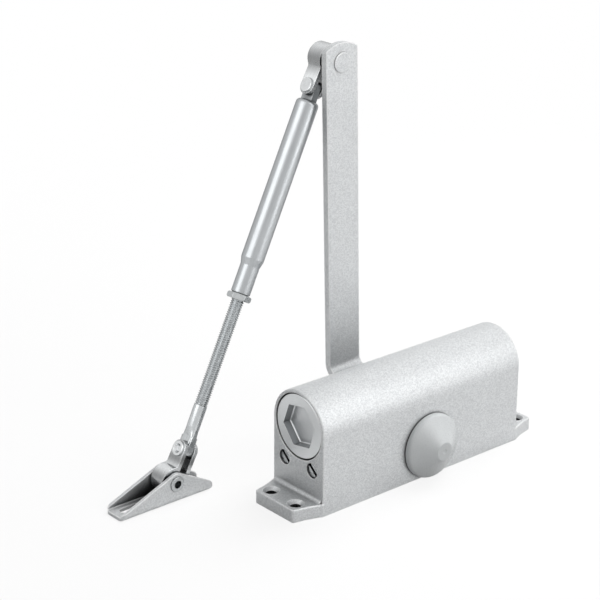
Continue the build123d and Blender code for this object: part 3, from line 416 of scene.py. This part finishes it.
def mergedSolid(name):  # a solid's loose triangles, joined
    built = bmesh.new()
    built.from_mesh(nodes[name].data)
    bmesh.ops.remove_doubles(built, verts=built.verts, dist=0.001 * mm)
    return built


def makePiece(name, built, finish):
    mesh = bpy.data.meshes.new(name)
    built.to_mesh(mesh)
    built.free()
    mesh.shade_smooth()
    mesh.set_sharp_from_angle(angle=sharpFrom)
    mesh.materials.clear()
    mesh.materials.append(finish)
    piece = bpy.data.objects.new(name, mesh)
    scene.collection.objects.link(piece)
    print(name + ":", len(mesh.polygons), "faces")
    return piece


# adjusting rod: M8 thread from the tube to the plain shank, crest is a radius, flank is in shares of the pitch
rodThread = {"start": 75.7, "end": 187.5, "pitch": 1.25, "crest": 3.72, "depth": 0.62, "flank": (0.08, 0.42),
             "sides": 36, "rowsPerPitch": 6}


def makeThreadTree(flank):
    tree = bpy.data.node_groups.new("rodThreadTree", "GeometryNodeTree")
    for name, kind in (("Length", "NodeSocketFloat"), ("Pitch", "NodeSocketFloat"), ("Crest", "NodeSocketFloat"),
                       ("Depth", "NodeSocketFloat"), ("Sides", "NodeSocketInt"), ("Rows", "NodeSocketInt"),
                       ("Finish", "NodeSocketMaterial")):
        tree.interface.new_socket(name, in_out="INPUT", socket_type=kind)
    tree.interface.new_socket("Geometry", in_out="OUTPUT", socket_type="NodeSocketGeometry")
    given = addNode(tree, "NodeGroupInput").outputs
    # a flat sheet of rows, rolled up and sheared by one pitch, so that each row follows the helix
    sheet = addNode(tree, "GeometryNodeMeshGrid", {"Size X": 1.0, "Size Y": given["Length"],
                                                   "Vertices X": given["Sides"], "Vertices Y": given["Rows"]})
    spot = addNode(tree, "ShaderNodeSeparateXYZ", {0: addNode(tree, "GeometryNodeInputPosition").outputs[0]})
    halfWay = addNode(tree, "ShaderNodeMath", {0: given["Length"], 1: 0.5}, operation="MULTIPLY")
    share = addNode(tree, "ShaderNodeMath", {0: spot.outputs["X"], 1: 0.5}, operation="ADD")
    along = addNode(tree, "ShaderNodeMath", {0: spot.outputs["Y"], 1: halfWay.outputs[0]}, operation="ADD")
    angle = addNode(tree, "ShaderNodeMath", {0: share.outputs[0], 1: 2 * math.pi}, operation="MULTIPLY")
    turns = addNode(tree, "ShaderNodeMath", {0: along.outputs[0], 1: given["Pitch"]}, operation="DIVIDE")
    wave = addNode(tree, "ShaderNodeMath", {0: turns.outputs[0], 1: 0.5}, operation="PINGPONG")
    # flat crest and root, straight flanks between them
    crestEnd, rootStart = flank
    cut = addNode(tree, "ShaderNodeMapRange", {"Value": wave.outputs[0], fromLow: crestEnd, fromHigh: rootStart,
                                               toLow: 0.0, toHigh: given["Depth"]})
    radius = addNode(tree, "ShaderNodeMath", {0: given["Crest"], 1: cut.outputs[0]}, operation="SUBTRACT")
    cosine = addNode(tree, "ShaderNodeMath", {0: angle.outputs[0]}, operation="COSINE")
    sine = addNode(tree, "ShaderNodeMath", {0: angle.outputs[0]}, operation="SINE")
    acrossX = addNode(tree, "ShaderNodeMath", {0: radius.outputs[0], 1: cosine.outputs[0]}, operation="MULTIPLY")
    acrossY = addNode(tree, "ShaderNodeMath", {0: radius.outputs[0], 1: sine.outputs[0]}, operation="MULTIPLY")
    climb = addNode(tree, "ShaderNodeMath", {0: share.outputs[0], 1: given["Pitch"], 2: along.outputs[0]},
                    operation="MULTIPLY_ADD")
    rolled = addNode(tree, "ShaderNodeCombineXYZ", {0: acrossX.outputs[0], 1: acrossY.outputs[0],
                                                    2: climb.outputs[0]})
    moved = addNode(tree, "GeometryNodeSetPosition", {"Geometry": sheet.outputs["Mesh"],
                                                      "Position": rolled.outputs[0]})
    welded = addNode(tree, "GeometryNodeMergeByDistance", {"Geometry": moved.outputs[0], "Distance": 0.002 * mm})
    real = addNode(tree, "GeometryNodeRealizeInstances", {"Geometry": welded.outputs[0]})
    coated = addNode(tree, "GeometryNodeSetMaterial", {"Geometry": real.outputs[0], "Material": given["Finish"]})
    addNode(tree, "NodeGroupOutput", {"Geometry": coated.outputs[0]})
    return tree


def growThread(v, finish):  # the thread alone, along Z from its start
    length = (v["end"] - v["start"]) * mm
    holder = bpy.data.objects.new("threadHolder", bpy.data.meshes.new("threadHolder"))
    scene.collection.objects.link(holder)
    tree = makeThreadTree(v["flank"])
    grown = holder.modifiers.new("thread", "NODES")
    grown.node_group = tree
    sockets = {item.name: item.identifier for item in tree.interface.items_tree if item.in_out == "INPUT"}
    wanted = {"Length": length, "Pitch": v["pitch"] * mm, "Crest": v["crest"] * mm, "Depth": v["depth"] * mm,
              "Sides": v["sides"] + 1, "Rows": round(length / (v["pitch"] * mm) * v["rowsPerPitch"]) + 1,
              "Finish": finish}
    for name, value in wanted.items():
        grown[sockets[name]] = value
    bpy.context.view_layer.update()
    thread = bpy.data.meshes.new_from_object(holder.evaluated_get(bpy.context.evaluated_depsgraph_get()))
    bpy.data.objects.remove(holder)
    return thread


def makeThreadedRod(v, finish):
    thread = growThread(v, finish)
    start = tubeStart + tubeAxis * v["start"] * mm
    thread.transform(Matrix.Translation(start) @ tubeAxis.to_track_quat("Z", "Y").to_matrix().to_4x4())
    # the shank and the forged end come from the solid, cut where the thread ends
    built = mergedSolid("adjusting_rod")
    cutAt = tubeStart + tubeAxis * (v["end"] - v["pitch"]) * mm
    bmesh.ops.bisect_plane(built, geom=built.verts[:] + built.edges[:] + built.faces[:], dist=0.0001 * mm,
                           plane_co=cutAt, plane_no=tubeAxis, clear_inner=True)
    built.from_mesh(thread)
    bpy.data.meshes.remove(thread)
    bmesh.ops.edgeloop_fill(built, edges=[edge for edge in built.edges if edge.is_boundary])
    bmesh.ops.recalc_face_normals(built, faces=built.faces)
    piece = makePiece("threadedRod", built, finish)
    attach(piece, "rod")
    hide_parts("adjusting_rod")


makeThreadedRod(rodThread, makeSteel("steelZincRolledThread", rolledThread))


# closing spring: the solid, joined into one piece that moves with the body
def makeClosingSpring():
    piece = makePiece("closingSpring", mergedSolid("main_spring"), finishes["spring_steel"])
    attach(piece, "body")
    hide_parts("main_spring")
    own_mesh(piece)


makeClosingSpring()


# studio: a pale sheet in a white surround, soft lamps in front and overhead, and panels that only gloss picks up
studio = {
    "paper": "#fafafa", "bounce": "#828282", "shadowBeneath": "#1a1a1a", "underInset": (2, 6.5, 0), "sheetReach": 6.0,
    "glow": 0.85, "mirrorGlow": 0.3, "fadeFrom": 0.22, "fadeTo": 0.75, "ambient": 0.19,
    "lamps": {  # place, aim, width, height, watts, and whether matt and shiny surfaces see it
        "key": ((0.40, -1.25, 0.77), (0, 0, 0.05), 1.0, 1.0, 7.0, True, False),
        "keySheen": ((0.60, -1.10, 0.92), (0, 0, 0.05), 1.3, 1.1, 5.2, False, True),
        "overhead": ((0.90, 0.15, 1.25), (0, 0, 0.05), 1.1, 1.1, 24.0, True, False),
        "fill": ((-0.40, -1.35, 0.45), (-0.03, 0, 0.10), 0.8, 0.6, 3.6, True, False),
        "lowStrip": ((0.57, -1.19, 0.17), (-0.02, 0, 0.12), 0.7, 0.3, 1.5, False, True),
        "leftStrip": ((-1.15, 0.10, 0.83), (-0.045, 0.06, 0.14), 1.1, 0.9, 5.0, False, True)}}


def makeFloor(v):
    made, tree, place = startMaterial("paperSweep")
    # how white the sheet is, seen directly and in gloss: it fades to full white away from the object
    far = addNode(tree, "ShaderNodeVectorMath", {0: place}, operation="LENGTH")
    seenFade, mirrorFade = (
        addNode(tree, "ShaderNodeMapRange", {"Value": far.outputs["Value"], fromLow: v["fadeFrom"],
                                             fromHigh: v["fadeTo"], toLow: least},
                interpolation_type="SMOOTHSTEP").outputs[0] for least in (v["glow"], v["mirrorGlow"]))
    ray = addNode(tree, "ShaderNodeLightPath").outputs
    mirrored = addNode(tree, "ShaderNodeMath", {0: ray["Is Glossy Ray"], 1: ray["Is Transmission Ray"]},
                       operation="MAXIMUM")
    seenAll = addNode(tree, "ShaderNodeMath", {0: mirrored.outputs[0], 1: ray["Is Camera Ray"]}, operation="MAXIMUM")
    mirror = addNode(tree, "ShaderNodeMath", {0: mirrored.outputs[0], 1: mirrorFade}, operation="MULTIPLY")
    white = addNode(tree, "ShaderNodeMath", {0: ray["Is Camera Ray"], 1: seenFade, 2: mirror.outputs[0]},
                    operation="MULTIPLY_ADD")
    # the paper throws less light back on the object than it shows to the camera
    tone = addNode(tree, "ShaderNodeMix", {"Factor": seenAll.outputs[0], colourA: hexColour(v["bounce"]),
                                          colourB: hexColour(v["paper"])}, data_type="RGBA")
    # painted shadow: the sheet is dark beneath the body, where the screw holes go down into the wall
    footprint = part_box("housing")[1] - Vector(v["underInset"]) * mm
    spread = addNode(tree, "ShaderNodeVectorMath", {0: place}, operation="ABSOLUTE")
    past = addNode(tree, "ShaderNodeVectorMath", {0: spread.outputs[0], 1: footprint}, operation="SUBTRACT")
    side = addNode(tree, "ShaderNodeSeparateXYZ", {0: past.outputs[0]})
    outside = addNode(tree, "ShaderNodeMath", {0: side.outputs["X"], 1: side.outputs["Y"]}, operation="MAXIMUM")
    clear = addNode(tree, "ShaderNodeMath", {0: outside.outputs[0], 1: 0.0}, operation="GREATER_THAN")
    shown = addNode(tree, "ShaderNodeMix", {"Factor": clear.outputs[0], colourA: hexColour(v["shadowBeneath"]),
                                           colourB: tone.outputs[mixedColour]}, data_type="RGBA")
    paper = addNode(tree, "ShaderNodeBsdfDiffuse", {"Color": shown.outputs[mixedColour]})
    # the white surround shows through the sheet, and so does an arm that swings below it
    through = addNode(tree, "ShaderNodeMath", {0: white.outputs[0], 1: clear.outputs[0]}, operation="MULTIPLY")
    gap = addNode(tree, "ShaderNodeBsdfTransparent")
    endMaterial(tree, addNode(tree, "ShaderNodeMixShader", {0: through.outputs[0], 1: paper.outputs[0],
                                                            2: gap.outputs[0]}))
    sheet = bmesh.new()
    bmesh.ops.create_grid(sheet, x_segments=1, y_segments=1, size=v["sheetReach"])
    mesh = bpy.data.meshes.new("floor")
    sheet.to_mesh(mesh)
    sheet.free()
    mesh.materials.append(made)
    floor = bpy.data.objects.new("floor", mesh)
    scene.collection.objects.link(floor)
    floor.visible_shadow = False  # the lamps reach what hangs below the sheet


def makeSurround(v):
    world = bpy.data.worlds.new("studio")
    scene.world = world
    world.use_nodes = True
    tree = world.node_tree
    tree.nodes.clear()
    ray = addNode(tree, "ShaderNodeLightPath").outputs
    seen = addNode(tree, "ShaderNodeMath", {0: ray["Is Camera Ray"], 1: ray["Is Glossy Ray"]}, operation="MAXIMUM")
    seenAll = addNode(tree, "ShaderNodeMath", {0: seen.outputs[0], 1: ray["Is Transmission Ray"]},
                      operation="MAXIMUM")
    # the room's light comes from above the floor only
    way = addNode(tree, "ShaderNodeSeparateXYZ", {0: addNode(tree, "ShaderNodeTexCoord").outputs["Generated"]})
    above = addNode(tree, "ShaderNodeMath", {0: way.outputs["Z"], 1: 0.0}, operation="GREATER_THAN")
    soft = addNode(tree, "ShaderNodeMath", {0: above.outputs[0], 1: v["ambient"]}, operation="MULTIPLY")
    room = addNode(tree, "ShaderNodeBackground", {"Color": (1, 1, 1, 1), "Strength": soft.outputs[0]})
    white = addNode(tree, "ShaderNodeBackground", {"Color": (1, 1, 1, 1), "Strength": 1.0})
    mixed = addNode(tree, "ShaderNodeMixShader", {0: seenAll.outputs[0], 1: room.outputs[0], 2: white.outputs[0]})
    addNode(tree, "ShaderNodeOutputWorld", {"Surface": mixed.outputs[0]})


def makeLamps(v):
    for name, (place, aim, width, height, watts, matt, shiny) in v["lamps"].items():
        lamp = bpy.data.lights.new(name, "AREA")
        lamp.shape = "RECTANGLE"
        lamp.size, lamp.size_y, lamp.energy = width, height, watts
        holder = bpy.data.objects.new(name, lamp)
        look = (Vector(aim) - Vector(place)).to_track_quat("-Z", "Y")
        holder.matrix_world = Matrix.Translation(place) @ look.to_matrix().to_4x4()
        scene.collection.objects.link(holder)
        holder.visible_diffuse, holder.visible_glossy = matt, shiny


makeFloor(studio)
makeSurround(studio)
makeLamps(studio)
print("studio:", len(studio["lamps"]), "lamps")


# camera at the photograph's place
view = {"place": (-0.67937, -0.70347, 0.48436), "ahead": (0.60658, 0.70591, -0.36573), "roll": 0.35,
        "lens": 113.546, "sensor": 36, "nearest": 0.05}


def makeCamera(v):
    ahead = Vector(v["ahead"]).normalized()
    right = ahead.cross(Vector((0, 0, 1))).normalized()
    up = right.cross(ahead)
    roll = math.radians(v["roll"])
    across = right * math.cos(roll) + up * math.sin(roll)
    upward = up * math.cos(roll) - right * math.sin(roll)
    lens = bpy.data.cameras.new("camera")
    lens.lens = v["lens"]
    lens.sensor_width = v["sensor"]
    lens.clip_start = v["nearest"]
    camera = bpy.data.objects.new("camera", lens)
    turn = Matrix((across, upward, -ahead)).transposed().to_4x4()
    camera.matrix_world = Matrix.Translation(v["place"]) @ turn
    scene.collection.objects.link(camera)
    scene.camera = camera


makeCamera(view)
scene.view_settings.view_transform = "Standard"
print("camera set")
